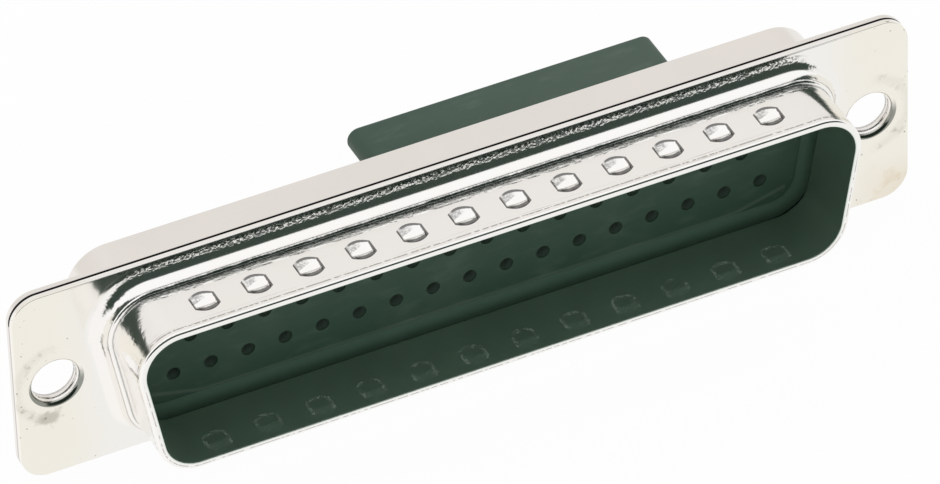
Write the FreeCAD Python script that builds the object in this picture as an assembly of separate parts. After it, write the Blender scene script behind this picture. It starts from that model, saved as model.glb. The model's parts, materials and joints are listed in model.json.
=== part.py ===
import FreeCAD, Part
import math
import os

from FreeCAD import Vector

# Lengths are in millimetres and angles in degrees.
# The origin is the middle of the front flange's front face. +X runs along the flange, +Z is
# up, towards the wide side of the D, and the mating side faces -Y.
# An outline's "offset" is its distance outside the D of the mating opening.

# Steel sheet that both shells are drawn from
SHEET = 0.5

# Contact cavities, three rows with the middle one shifted by half a pitch. The rows sit a little
# above the middle of the D.
CONTACT_PITCH = 2.76
ROW_SPACING = 2.84
ROW_RISE = 0.2
ROW_COUNTS = (17, 16, 17)
PIN_BORE = 1.0
PIN_BORE_LENGTH = 1.5
CAVITY_BORE = 1.8
BORE_SIDES = 8

# D of the mating opening, inside the tube, measured outwards from where the outer cavities'
# centres are before that rise
OPENING_END_MARGIN = 4.325
OPENING_SIDE_MARGIN = 2.695
OPENING_CORNER = 2.6
SIDE_SLOPE = 10.0

# Tube of the front shell: the foot is the slightly larger ring at its base
TUBE_REACH = 5.85
RIM_BEVEL = 0.3
FOOT_REACH = 1.5
FOOT_STEP = 0.3
FOOT_BEND = 1.2
FOOT_BEVEL = 0.25
MOUTH_BEVEL = 1.35

# Flanges of the two shells, which lie back to back. The margins are the flat strip between the
# foot's bend and a long edge, and the distances from a hole's centre to the D and to the end.
FLANGE_SIDE_MARGIN = 0.15
HOLE_FROM_OPENING = 4.15
HOLE_FROM_END = 2.91
FLANGE_CORNER = 2.0
REAR_HOLE = 3.3
FRONT_HOLE_LEDGE = 0.1
FRONT_HOLE_FLARE = 0.3

# Grounding dimples, pressed inwards through the tube's long walls: each is a barrel shape,
# narrower at its two ends, with sloping sides down to a flat floor
DIMPLE_PITCH = 3.82
DIMPLE_END_MARGIN = 0.5
DIMPLE_WIDTH = 1.9
DIMPLE_SPAN = 1.9
DIMPLE_END_SPAN = 0.7
DIMPLE_DEPTH = 0.35
DIMPLE_SLOPE_RUN = 0.25
TOP_DIMPLE_PLACE = 3.5
BOTTOM_DIMPLE_PLACE = 4.3

# Cup of the rear shell
CUP_CORNER = 3.0
CUP_REACH = 3.25
CUP_BEND = 0.6
CUP_BEVEL = 0.15
CUP_MOUTH_BEVEL = 0.65

# Insulator: a raised front face, a collar held between the shells' bends, and a body
FACE_SETBACK = 0.1
FACE_STEP = 0.2
FACE_MARGIN = 0.635
COLLAR_CLEARANCE = 0.04
BODY_OFFSET = 0.635
BODY_CLEARANCE = 0.1
BODY_STAND = 0.5

# Tongue on the insulator's rear face, above the top row
TONGUE_WIDTH = 23.0
TONGUE_CENTRE = 6.5
TONGUE_THICKNESS = 1.8
TONGUE_INSET = 0.27
TONGUE_REACH = 3.75
TONGUE_ROUND = 0.85

# Sizes and places that follow from those above
OPENING_WIDTH = (max(ROW_COUNTS) - 1) * CONTACT_PITCH + 2 * OPENING_END_MARGIN
OPENING_HEIGHT = (len(ROW_COUNTS) - 1) * ROW_SPACING + 2 * OPENING_SIDE_MARGIN
HOLE_SPACING = OPENING_WIDTH + 2 * HOLE_FROM_OPENING
FLANGE_LENGTH = HOLE_SPACING + 2 * HOLE_FROM_END
FLANGE_HEIGHT = OPENING_HEIGHT + 2 * (SHEET + FOOT_STEP + FOOT_BEND + FLANGE_SIDE_MARGIN)
REAR_FLANGE_BACK = 2 * SHEET
CUP_INSIDE = BODY_OFFSET + BODY_CLEARANCE
CUP_OFFSET = CUP_INSIDE + SHEET
CUP_EDGE = REAR_FLANGE_BACK + CUP_REACH
COLLAR_FRONT = FACE_SETBACK + FACE_STEP
BODY_BACK = CUP_EDGE + BODY_STAND

# An edge this close to an outline lies on it
MATCH = 1e-4


def rounded_outline(corners, radius, y):
    """Closed wire in the plane at y through (x, z) corners, each rounded by the radius."""
    joints = []
    for index, corner in enumerate(corners):
        point = Vector(corner[0], y, corner[1])
        before = corners[index - 1]
        after = corners[(index + 1) % len(corners)]
        to_before = (Vector(before[0], y, before[1]) - point).normalize()
        to_after = (Vector(after[0], y, after[1]) - point).normalize()
        half_angle = to_before.getAngle(to_after) / 2
        run = radius / math.tan(half_angle)
        inward = (to_before + to_after).normalize()
        middle = point + inward * (radius / math.sin(half_angle) - radius)
        joints.append((point + to_before * run, middle, point + to_after * run))
    edges = []
    for index, (start, middle, end) in enumerate(joints):
        edges.append(Part.Arc(start, middle, end).toShape())
        following = joints[(index + 1) % len(joints)][0]
        edges.append(Part.LineSegment(end, following).toShape())
    return Part.Wire(edges)


def d_sides(offset):
    """Half height of the D outline, and half its wide and narrow sides before rounding."""
    lean = math.tan(math.radians(SIDE_SLOPE))
    across = 1 / math.cos(math.radians(SIDE_SLOPE))
    corner_height = OPENING_HEIGHT / 2 - OPENING_CORNER
    corner_centre = OPENING_WIDTH / 2 - OPENING_CORNER
    middle = corner_centre + (OPENING_CORNER + offset) * across - corner_height * lean
    top = OPENING_HEIGHT / 2 + offset
    return top, middle + top * lean, middle - top * lean


def d_outline(offset, corner, y):
    """D outline in the plane at y, wide side up."""
    top, wide, narrow = d_sides(offset)
    corners = [(-wide, top), (wide, top), (narrow, -top), (-narrow, -top)]
    return rounded_outline(corners, corner, y)


def prism(outline, length):
    return Part.Face(outline).extrude(Vector(0, length, 0))


def d_prism(offset, front, back, corner=None):
    if corner is None:
        corner = OPENING_CORNER + offset
    return prism(d_outline(offset, corner, front), back - front)


def flange(front):
    half_length = FLANGE_LENGTH / 2
    half_height = FLANGE_HEIGHT / 2
    corners = [
        (-half_length, half_height),
        (half_length, half_height),
        (half_length, -half_height),
        (-half_length, -half_height),
    ]
    return prism(rounded_outline(corners, FLANGE_CORNER, front), SHEET)


def edges_along(shape, wire):
    """The edges of the shape that lie on the wire."""
    chosen = []
    for edge in shape.Edges:
        middle = edge.valueAt((edge.FirstParameter + edge.LastParameter) / 2)
        if wire.distToShape(Part.Vertex(middle))[0] < MATCH:
            chosen.append(edge)
    return chosen


def cut_mounting_holes(shape, front, front_radius, back_radius):
    """Two holes through one sheet, which are cones where the radii differ."""
    for side in (-1, 1):
        base = Vector(side * HOLE_SPACING / 2, front, 0)
        if front_radius == back_radius:
            tool = Part.makeCylinder(back_radius, SHEET, base, Vector(0, 1, 0))
        else:
            tool = Part.makeCone(front_radius, back_radius, SHEET, base, Vector(0, 1, 0))
        shape = shape.cut(tool)
    return shape


def dimple_outline(inset, x, y, z):
    """Six corners of a dimple's outline, drawn in by the inset on every side."""
    half_width = DIMPLE_WIDTH / 2
    half_span = DIMPLE_SPAN / 2
    rise = half_span - DIMPLE_END_SPAN / 2
    width = half_width - inset
    span = half_span - inset * math.hypot(half_width, rise) / half_width
    end_span = span - rise * width / half_width
    corners = [(-width, end_span), (0, span), (width, end_span)]
    corners += [(-across, -along) for across, along in corners]
    return [Vector(x + across, y + along, z) for across, along in corners]


def frustum(base, top):
    """Solid between two outlines with as many corners and parallel sides."""
    faces = [Part.Face(Part.makePolygon(outline + outline[:1])) for outline in (base, top)]
    for index in range(len(base)):
        sides = [base[index - 1], base[index], top[index], top[index - 1], base[index - 1]]
        faces.append(Part.Face(Part.makePolygon(sides)))
    return Part.Solid(Part.Shell(faces))


def dimple_count():
    """As many as the flat of the narrow side holds between its rounded corners."""
    narrow = d_sides(0)[2]
    corner_run = OPENING_CORNER / math.tan(math.radians(90 + SIDE_SLOPE) / 2)
    flat = 2 * (narrow - corner_run - DIMPLE_END_MARGIN)
    return int((flat - DIMPLE_WIDTH) / DIMPLE_PITCH) + 1


def dimple_row(side, place, surface, growth):
    """One row of pressed shapes, going in from a surface at the given distance from Z = 0."""
    solids = []
    count = dimple_count()
    for index in range(count):
        x = (index - (count - 1) / 2) * DIMPLE_PITCH
        mouth = dimple_outline(-growth, x, -place, side * surface)
        floor = dimple_outline(DIMPLE_SLOPE_RUN - growth, x, -place, side * (surface - DIMPLE_DEPTH))
        solids.append(frustum(mouth, floor))
    return solids


def add_dimples(tube):
    """Pockets outside and matching bumps inside, one sheet thickness apart."""
    slope = math.atan(DIMPLE_DEPTH / DIMPLE_SLOPE_RUN)
    growth = SHEET * math.tan(slope / 2)
    inner = OPENING_HEIGHT / 2
    bumps = []
    pockets = []
    for side, place in ((1, TOP_DIMPLE_PLACE), (-1, BOTTOM_DIMPLE_PLACE)):
        bumps += dimple_row(side, place, inner, growth)
        pockets += dimple_row(side, place, inner + SHEET, 0)
    return tube.fuse(bumps).cut(pockets)


def front_shell():
    inside = SHEET / 2
    hole_back = REAR_HOLE / 2 + FRONT_HOLE_LEDGE
    foot_offset = SHEET + FOOT_STEP
    foot_corner = OPENING_CORNER + foot_offset
    shell = flange(0)
    shell = shell.fuse(d_prism(foot_offset, -FOOT_REACH, inside))
    shell = shell.fuse(d_prism(SHEET, -TUBE_REACH, inside)).removeSplitter()
    root = edges_along(shell, d_outline(foot_offset, foot_corner, 0))
    shell = shell.makeFillet(FOOT_BEND, root)
    foot_edge = edges_along(shell, d_outline(foot_offset, foot_corner, -FOOT_REACH))
    shell = shell.makeChamfer(FOOT_BEVEL, foot_edge)
    rim = edges_along(shell, d_outline(SHEET, OPENING_CORNER + SHEET, -TUBE_REACH))
    shell = shell.makeChamfer(RIM_BEVEL, rim)
    shell = shell.cut(d_prism(0, -TUBE_REACH - SHEET, 2 * SHEET))
    mouth = edges_along(shell, d_outline(0, OPENING_CORNER, SHEET))
    shell = shell.makeChamfer(MOUTH_BEVEL, mouth)
    shell = cut_mounting_holes(shell, 0, hole_back + FRONT_HOLE_FLARE, hole_back)
    return add_dimples(shell)


def rear_shell():
    inside = 1.5 * SHEET
    inside_corner = CUP_CORNER - SHEET
    shell = flange(SHEET)
    shell = shell.fuse(d_prism(CUP_OFFSET, inside, CUP_EDGE, CUP_CORNER)).removeSplitter()
    root = edges_along(shell, d_outline(CUP_OFFSET, CUP_CORNER, REAR_FLANGE_BACK))
    shell = shell.makeFillet(CUP_BEND, root)
    edge = edges_along(shell, d_outline(CUP_OFFSET, CUP_CORNER, CUP_EDGE))
    shell = shell.makeChamfer(CUP_BEVEL, edge)
    shell = shell.cut(d_prism(CUP_INSIDE, 0, CUP_EDGE + SHEET, inside_corner))
    mouth = edges_along(shell, d_outline(CUP_INSIDE, inside_corner, SHEET))
    shell = shell.makeChamfer(CUP_MOUTH_BEVEL, mouth)
    return cut_mounting_holes(shell, SHEET, REAR_HOLE / 2, REAR_HOLE / 2)


def collar_size():
    """Offset and back of the collar, which just clears the bevels inside both shells."""
    gap = COLLAR_CLEARANCE * math.sqrt(2)
    offset = MOUTH_BEVEL - (SHEET - COLLAR_FRONT) - gap
    back = SHEET + (CUP_INSIDE + CUP_MOUTH_BEVEL - offset) - gap
    return offset, back


def cavity_places():
    middle_row = (len(ROW_COUNTS) - 1) / 2
    for row, count in enumerate(ROW_COUNTS):
        for index in range(count):
            x = (index - (count - 1) / 2) * CONTACT_PITCH
            yield x, (middle_row - row) * ROW_SPACING + ROW_RISE


def bores(diameter, front, back):
    """Many-sided bores that the given diameter just passes through."""
    solids = []
    corner_radius = diameter / 2 / math.cos(math.pi / BORE_SIDES)
    for x, z in cavity_places():
        corners = []
        for side in range(BORE_SIDES + 1):
            angle = (side + 0.5) * 2 * math.pi / BORE_SIDES
            across = corner_radius * math.cos(angle)
            corners.append(Vector(x + across, front, z + corner_radius * math.sin(angle)))
        solids.append(prism(Part.makePolygon(corners), back - front))
    return solids


def tongue():
    top = OPENING_HEIGHT / 2 + BODY_OFFSET - TONGUE_INSET
    bottom = top - TONGUE_THICKNESS
    left = TONGUE_CENTRE - TONGUE_WIDTH / 2
    right = TONGUE_CENTRE + TONGUE_WIDTH / 2
    corners = [(left, top), (right, top), (right, bottom), (left, bottom)]
    root = BODY_BACK - BODY_STAND
    return prism(rounded_outline(corners, TONGUE_ROUND, root), BODY_STAND + TONGUE_REACH)


def insulator():
    collar_offset, collar_back = collar_size()
    body = d_prism(BODY_OFFSET, COLLAR_FRONT, BODY_BACK)
    body = body.fuse(d_prism(collar_offset, COLLAR_FRONT, collar_back))
    body = body.fuse(d_prism(-FACE_MARGIN, FACE_SETBACK, collar_back))
    body = body.fuse(tongue()).removeSplitter()
    body = body.cut(bores(PIN_BORE, FACE_SETBACK - SHEET, BODY_BACK))
    return body.cut(bores(CAVITY_BORE, FACE_SETBACK + PIN_BORE_LENGTH, BODY_BACK + SHEET))


def save(name, shape):
    solid, = shape.Solids
    solid.exportStep("parts/" + name + ".step")


os.makedirs("parts", exist_ok=True)
save("front_shell", front_shell())
save("rear_shell", rear_shell())
save("insulator", insulator())
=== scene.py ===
import json
import math

import bmesh
import bpy
import numpy as np
from bpy.props import FloatProperty, FloatVectorProperty, IntProperty, PointerProperty
from mathutils import Matrix, Vector


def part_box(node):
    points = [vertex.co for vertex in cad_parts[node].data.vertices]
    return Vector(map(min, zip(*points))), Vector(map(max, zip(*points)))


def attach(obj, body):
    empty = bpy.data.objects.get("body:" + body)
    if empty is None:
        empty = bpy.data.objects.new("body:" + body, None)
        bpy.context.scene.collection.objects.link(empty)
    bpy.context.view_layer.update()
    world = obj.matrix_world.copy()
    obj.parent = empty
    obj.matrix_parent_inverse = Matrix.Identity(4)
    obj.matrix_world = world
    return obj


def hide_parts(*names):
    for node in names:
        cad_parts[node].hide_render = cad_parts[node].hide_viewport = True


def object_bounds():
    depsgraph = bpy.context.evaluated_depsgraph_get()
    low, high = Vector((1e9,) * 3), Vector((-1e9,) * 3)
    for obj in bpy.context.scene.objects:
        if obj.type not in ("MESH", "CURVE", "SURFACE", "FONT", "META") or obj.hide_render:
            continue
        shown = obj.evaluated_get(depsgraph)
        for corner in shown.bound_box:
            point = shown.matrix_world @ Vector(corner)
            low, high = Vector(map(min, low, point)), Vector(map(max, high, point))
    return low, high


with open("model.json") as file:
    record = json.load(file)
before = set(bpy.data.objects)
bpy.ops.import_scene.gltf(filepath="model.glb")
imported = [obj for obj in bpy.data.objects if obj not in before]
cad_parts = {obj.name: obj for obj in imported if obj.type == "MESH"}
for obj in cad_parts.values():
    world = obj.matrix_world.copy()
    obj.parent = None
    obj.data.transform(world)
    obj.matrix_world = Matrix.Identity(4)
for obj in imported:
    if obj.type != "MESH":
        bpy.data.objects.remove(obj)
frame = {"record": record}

bl_info = {
    "name": "D-sub plug",
    "version": (1, 0, 0),
    "blender": (4, 5, 0),
    "location": "3D View > Sidebar > Plug",
    "description": "Builds an empty fifty-way D-sub cable plug and its studio",
    "category": "Object",
}

# The origin is the middle of the front flange's front face. +X runs along the flange, +Z is
# up, towards the wide side of the D, and the mating side faces -Y. Lengths are in metres.
MM = 0.001
WELD = 0.0002 * MM
HOLE_STEPS = 64
BORE_STEPS = 24
# A bent section ends this far out on the flange's flat face, where the plate takes over.
STRIP = 0.1 * MM
# Heights of the rows of cavities in row spacings. The middle row has one cavity less.
ROWS = (1, 0, -1)
ROOT = "root"
CAD_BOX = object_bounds()
FRONT_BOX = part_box("front_shell")
REAR_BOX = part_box("rear_shell")
INSULATOR_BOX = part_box("insulator")
MOUNTS = {mount["name"]: mount for mount in frame["record"]["mounts"]}
HOLE_DIMS = MOUNTS["flange_holes"]["dims"]


def length(name, description, default):
    kind = {"unit": "LENGTH", "precision": 5}
    return FloatProperty(name=name, description=description, default=default, **kind)


def angle(name, description, degrees):
    default = math.radians(degrees)
    return FloatProperty(name=name, description=description, default=default, unit="ROTATION")


def share(name, description, default):
    kind = {"min": 0, "max": 1, "subtype": "FACTOR"}
    return FloatProperty(name=name, description=description, default=default, **kind)


def colour(name, description, default):
    kind = {"size": 3, "min": 0, "subtype": "COLOR"}
    return FloatVectorProperty(name=name, description=description, default=default, **kind)


class OutlineSizes(bpy.types.PropertyGroup):
    """The D of the mating opening. Other outlines are offsets of it."""

    width: length("Opening width", "Widest inside width of the tube", 52.81 * MM)
    height: length("Opening height", "Inside height of the tube", 11.07 * MM)
    corner: length("Opening corner", "Inside corner radius of the tube", 2.6 * MM)
    slope: angle("Side slope", "Lean of the D's short sides", 10)


class ShellSizes(bpy.types.PropertyGroup):
    """Both drawn steel shells."""

    sheet: length("Sheet", "Thickness of the steel sheet", FRONT_BOX[1].y)
    flange_length: length("Flange length", "Length of both flanges", 2 * FRONT_BOX[1].x)
    flange_height: length("Flange height", "Height of both flanges", 2 * FRONT_BOX[1].z)
    flange_corner: length("Flange corner", "Corner radius of both flanges", 2 * MM)
    flange_edge: length("Flange edge", "Rounding of the flanges' stamped edges", 0.05 * MM)
    burr_edge: length("Burr edge", "Rounding of the flanges' edges on the seam side", 0.08 * MM)
    hole_spacing: length("Hole spacing", "Distance between the holes", HOLE_DIMS["spacing_x_mm"] * MM)
    hole_radius: length("Hole radius", "Radius of the rear flange's holes", HOLE_DIMS["hole_r_mm"] * MM)
    hole_ledge: length("Hole ledge", "Step from the rear hole to the front hole", 0.03 * MM)
    hole_round: length("Hole round", "Rounding of the front hole's mouth", 0.44 * MM)
    tube_reach: length("Tube reach", "Reach of the tube in front of the flange", -FRONT_BOX[0].y)
    rim_round: length("Rim round", "Rounding of the rim's outer edge", 0.22 * MM)
    rim_edge: length("Rim edge", "Rounding of the rim's inner edge", 0.05 * MM)
    foot_reach: length("Foot reach", "Reach of the foot in front of the flange", 1.42 * MM)
    foot_step: length("Foot step", "Step from the foot down to the tube", 0.3 * MM)
    foot_bend: length("Foot bend", "Bend radius between flange and foot", 1.2 * MM)
    foot_edge: length("Foot edge", "Rounding of the foot's front edge", 0.27 * MM)
    foot_root: length("Foot root", "Rounding where foot and tube meet", 0.02 * MM)
    mouth_bevel: length("Mouth bevel", "Bevel inside the front shell's bend", 1.35 * MM)
    cup_offset: length("Cup offset", "Distance of the cup outside the opening's D", 1.235 * MM)
    cup_corner: length("Cup corner", "Outside corner radius of the cup", 3 * MM)
    cup_edge: length("Cup edge", "Place of the cup's rear edge", REAR_BOX[1].y)
    cup_bend: length("Cup bend", "Bend radius between flange and cup", 0.6 * MM)
    cup_rounding: length("Cup rounding", "Rounding of the cup's rear edge", 0.15 * MM)
    cup_mouth: length("Cup mouth", "Bevel inside the cup's bend", 0.65 * MM)


class DimpleSizes(bpy.types.PropertyGroup):
    """The grounding dimples in the tube's long walls."""

    count: IntProperty(name="Count", description="Dimples in each row", default=12, min=2)
    pitch: length("Pitch", "Distance from one dimple to the next", 3.82 * MM)
    width: length("Width", "Size of a dimple along the tube's wall", 1.8 * MM)
    span: length("Span", "Size of a dimple at its middle, from front to back", 2 * MM)
    end_span: length("End span", "Size of a dimple at its ends, from front to back", 1.2 * MM)
    depth: length("Depth", "Depth of a dimple", 0.2 * MM)
    end_run: length("End run", "Length of the slope at a dimple's ends", 0.2 * MM)
    near_share: share("Near slope", "Share of the span that slopes down from the front", 0.38)
    far_share: share("Far slope", "Share of the span that slopes down from the back", 0.05)
    far_depth: share("Far depth", "Share of the depth left at the back slope", 0.3)
    inside_loss: share("Inside loss", "Share of the depth that is missing inside the tube", 0.7)
    top_place: length("Top place", "Distance of the top row in front of the flange", 3.5 * MM)
    bottom_place: length("Bottom place", "Distance of the bottom row in front of the flange", 4.3 * MM)


class InsulatorSizes(bpy.types.PropertyGroup):
    """The moulded insulator with its contact cavities and tongue."""

    face_setback: length("Face setback", "Depth of the face behind the flange", INSULATOR_BOX[0].y)
    face_step: length("Face step", "Height of the raised front face", 0.2 * MM)
    face_margin: length("Face margin", "Gap between the raised face and the tube", 0.635 * MM)
    face_edge: length("Face edge", "Rounding of the raised face's edge", 0.08 * MM)
    collar_gap: length("Collar gap", "Gap between the collar and the shells' bevels", 0.04 * MM)
    body_offset: length("Body offset", "Distance of the body outside the opening's D", 0.635 * MM)
    body_back: length("Body back", "Place of the body's rear face", 4.75 * MM)
    body_edge: length("Body edge", "Rounding of the body's rear edge", 0.15 * MM)
    contact_pitch: length("Contact pitch", "Distance between cavities in a row", 2.76 * MM)
    row_spacing: length("Row spacing", "Distance between rows", 2.84 * MM)
    row_rise: length("Row rise", "Height of the middle row above the D's middle", 0.2 * MM)
    outer_count: IntProperty(
        name="Outer count", description="Cavities in an outer row", default=17, min=2
    )
    pin_bore: length("Pin bore", "Radius of the openings in the front face", 0.5 * MM)
    pin_length: length("Pin bore length", "Length of the narrow bore", 1.5 * MM)
    cavity_bore: length("Cavity bore", "Radius of the cavities behind", 0.9 * MM)
    bore_edge: length("Bore edge", "Rounding of the bores' mouths", 0.04 * MM)
    tongue_width: length("Tongue width", "Width of the tongue", 23 * MM)
    tongue_centre: length("Tongue centre", "Place of the tongue's middle along X", 6.5 * MM)
    tongue_thickness: length("Tongue thickness", "Thickness of the tongue", 1.8 * MM)
    tongue_inset: length("Tongue inset", "Fall from the body's top to the tongue's", 0.27 * MM)
    tongue_end: length("Tongue end", "Place of the tongue's rear end", INSULATOR_BOX[1].y)
    tongue_round: length("Tongue round", "Rounding of the tongue's long edges", 0.85 * MM)
    tongue_edge: length("Tongue edge", "Rounding of the tongue's rear end", 0.12 * MM)


class MarkSizes(bpy.types.PropertyGroup):
    """Places and sizes of the marks on the finishes."""

    end_start: length("End start", "Distance from the middle where the plug's ends start", 24 * MM)
    upper_start: length("Upper start", "Height over the middle where the upper side starts", 5.6 * MM)
    tarnish_start: length("Tarnish start", "Distance from the middle where tarnish starts", 26.5 * MM)
    ring_radius: length("Ring radius", "Radius of the scuffs round the holes", 2.95 * MM)
    ring_reach: length("Ring reach", "Half width of these scuffs", 0.6 * MM)
    blot_left: length("Blot left", "Distance of the grey blot left of the middle", 31.4 * MM)
    blot_drop: length("Blot drop", "Distance of the grey blot below the middle", 2.9 * MM)
    blot_radius: length("Blot radius", "Radius of the grey blot", 0.8 * MM)
    blot_fray: length("Blot fray", "How far the grey blot's edge wanders", 2.4 * MM)
    stain_start: length("Stain start", "Distance of the warm stain right of the middle", 28 * MM)
    stain_drop: length("Stain drop", "Distance of the warm stain below the middle", 3.4 * MM)
    dots_place: length("Dots place", "Distance of the drawn dots behind the rim", 0.5 * MM)
    # Nick offset: place of the painted dark line on the rim's low side.
    nick_offset: length("Nick offset", "Distance of the rim's dark nicks from its inside", 0.24 * MM)
    # Streak drop: place of the painted sheen along the face's lower edge.
    streak_drop: length("Streak drop", "Distance of the face's dusty streak below the middle", 4.8 * MM)


class FinishColours(bpy.types.PropertyGroup):
    """Colours of the finishes."""

    front_tin: colour("Front tin", "Tin plating of the front shell", (0.95, 0.94, 0.925))
    rear_tin: colour("Rear tin", "Tin plating of the rear shell", (0.85, 0.825, 0.8))
    # Inside: duller plating inside the tube, darker and tinted green as a painted reflection of the
    # green moulding.
    inside: colour("Inside", "Dull plating inside the tube", (0.53, 0.665, 0.57))
    tarnish: colour("Tarnish", "Duller, warmer plating of the flanges", (0.94, 0.91, 0.83))
    scuff: colour("Scuff", "Grey scuffs round the holes", (0.45, 0.43, 0.36))
    stain: colour("Stain", "Warm stain by the right hole", (0.72, 0.58, 0.38))
    # Bend: dark crazing where the sheet was bent, and also the colour of the painted dark reflection
    # along the foot's step and of the painted shade on the holes' low sides.
    bend: colour("Bend", "Crazed plating where the sheet was bent", (0.075, 0.1, 0.085))
    # Dust: dust on the dimples inside the tube, and also the colour of a painted glint inside the
    # tube's right end.
    dust_and_painted_light: colour("Dust", "Dust on the dimples inside the tube", (0.16, 0.21, 0.18))
    seam: colour("Seam", "Shadowed seam between the flanges", (0.02, 0.02, 0.02))
    # Grime: dark specks and drawn lines, and also the colour of the painted dark line on the rim's low
    # side.
    grime_and_shade: colour("Grime", "Dark specks and lines", (0.16, 0.15, 0.12))
    plastic: colour("Plastic", "Green-black moulding", (0.032, 0.072, 0.049))
    # Painted light: a paler copy of the moulding for the shaded pocket round the collar.
    plastic_painted_light: colour("Pale plastic", "Moulding where the shells cover it", (0.1, 0.18, 0.13))
    # Worn plastic: dusty moulding, and also the paler colour of the painted light on the tongue, in the
    # bores and along the face's lower edge.
    plastic_dust_and_light: colour("Worn plastic", "Paler, dusty moulding", (0.083, 0.127, 0.1))


class StudioSettings(bpy.types.PropertyGroup):
    """Camera, floor and light."""

    azimuth: angle("Azimuth", "Turn of the camera about Z, from -Y towards +X", -24.357)
    elevation: angle("Elevation", "Angle of the camera above the horizon", 39.66)
    roll: angle("Roll", "Turn of the camera about its own view", -2.052)
    distance: length("Distance", "Distance of the camera from the origin", 653.637 * MM)
    across: length("Across", "Shift of the camera to its right", 0.033 * MM)
    upwards: length("Upwards", "Shift of the camera upwards", 0.348 * MM)
    sensor: length("Sensor", "Width of the camera's sensor", 36 * MM)
    lens: length("Lens", "Focal length of the camera", 369.9 * MM)
    floor_drop: length("Floor drop", "Distance of the floor below the flange", 0.02 * MM)
    floor_size: length("Floor size", "Half the width of the floor", 4.0)
    floor_white: share("Floor white", "Share of the floor's colour that no shadow darkens", 0.96)
    soft: colour("Soft", "Even light on what isn't glossy", (0.9, 0.9, 0.88))
    overhead: colour("Overhead", "Reflected light from above", (1.013, 1.01, 1.015))
    behind: colour("Behind", "Reflected light from behind the plug", (0.853, 0.828, 0.806))
    before: colour("Before", "Reflected dark screen behind the camera", (0.035, 0.052, 0.042))
    low: colour("Low", "Reflected light from below", (0.925, 0.92, 0.905))
    low_left: colour("Low left", "Reflected light from below on the left", (0.99, 0.975, 0.965))


GROUPS = {
    "plug_outline": OutlineSizes,
    "plug_shells": ShellSizes,
    "plug_dimples": DimpleSizes,
    "plug_insulator": InsulatorSizes,
    "plug_marks": MarkSizes,
    "plug_finish": FinishColours,
    "plug_studio": StudioSettings,
}


class Value:
    """A number's socket in a node tree. Operators on it add Math nodes."""

    def __init__(self, nodes, socket):
        self.nodes = nodes
        self.socket = socket

    def math(self, operation, *operands):
        node = self.nodes.add("ShaderNodeMath", dict(enumerate(operands)), operation=operation)
        return Value(self.nodes, node.outputs[0])

    def __add__(self, other):
        return self.math("ADD", self, other)

    def __sub__(self, other):
        return self.math("SUBTRACT", self, other)

    def __rsub__(self, other):
        return self.math("SUBTRACT", other, self)

    def __mul__(self, other):
        return self.math("MULTIPLY", self, other)

    def __truediv__(self, other):
        return self.math("DIVIDE", self, other)

    def __pow__(self, other):
        return self.math("POWER", self, other)

    def __neg__(self):
        return self * -1

    def __abs__(self):
        return self.math("ABSOLUTE", self)

    def __gt__(self, other):
        return self.math("GREATER_THAN", self, other)

    def __lt__(self, other):
        return self.math("LESS_THAN", self, other)

    __radd__ = __add__
    __rmul__ = __mul__

    def floor(self):
        return self.math("FLOOR", self)

    def least(self, other):
        return self.math("MINIMUM", self, other)

    def most(self, other):
        return self.math("MAXIMUM", self, other)

    def between(self, low, high):
        """Rises smoothly from 0 at low to 1 at high, or the other way round if low is the larger."""
        inputs = {"Value": self, "From Min": low, "From Max": high}
        node = self.nodes.add("ShaderNodeMapRange", inputs, interpolation_type="SMOOTHSTEP")
        return Value(self.nodes, node.outputs["Result"])

    def near(self, place, reach, core):
        """1 within core of a place, falling smoothly to 0 at reach from it."""
        return abs(self - place).between(reach, core)


class Nodes:
    """Adds nodes to a tree."""

    def __init__(self, tree):
        self.tree = tree
        tree.nodes.clear()

    def add(self, kind, inputs=None, **settings):
        """A node with its settings, then the values or links of its inputs, by name or number."""
        node = self.tree.nodes.new(kind)
        for name, setting in settings.items():
            setattr(node, name, setting)
        for key, given in (inputs or {}).items():
            if isinstance(given, Value):
                given = given.socket
            if isinstance(given, bpy.types.NodeSocket):
                self.tree.links.new(given, node.inputs[key])
            else:
                node.inputs[key].default_value = given
        return node

    def value(self, kind, output, inputs=None, **settings):
        return Value(self, self.add(kind, inputs, **settings).outputs[output])

    def chain(self, geometry, kind, inputs=None, **settings):
        """Adds a node that changes a geometry, and returns what comes out of it."""
        node = self.add(kind, {"Geometry": geometry} | (inputs or {}), **settings)
        return node.outputs["Geometry"]

    def split(self, vector):
        node = self.add("ShaderNodeSeparateXYZ", {"Vector": vector})
        return [Value(self, socket) for socket in node.outputs]

    def join(self, x, y, z):
        return self.add("ShaderNodeCombineXYZ", {"X": x, "Y": y, "Z": z}).outputs["Vector"]

    def mix(self, factor, first, second):
        """Colour between two colours, which are sockets or triples."""
        node = self.add("ShaderNodeMix", {"Factor": factor}, data_type="RGBA")
        sockets = [socket for socket in node.inputs if socket.type == "RGBA"]
        for socket, given in zip(sockets, (first, second)):
            if isinstance(given, bpy.types.NodeSocket):
                self.tree.links.new(given, socket)
            else:
                socket.default_value = (*given, 1)
        return next(socket for socket in node.outputs if socket.type == "RGBA")

    def noise(self, vector, scale, detail, roughness=0.5):
        """Noise whose features are about 1 / scale metres across."""
        inputs = {"Vector": vector, "Scale": scale, "Detail": detail, "Roughness": roughness}
        return self.value("ShaderNodeTexNoise", "Fac", inputs)


def new_object(name, data):
    made = bpy.data.objects.new(name, data)
    bpy.context.scene.collection.objects.link(made)
    return made


def new_nodes(owner):
    """Empty nodes for a material or a world."""
    owner.use_nodes = True
    return Nodes(owner.node_tree)


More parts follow.
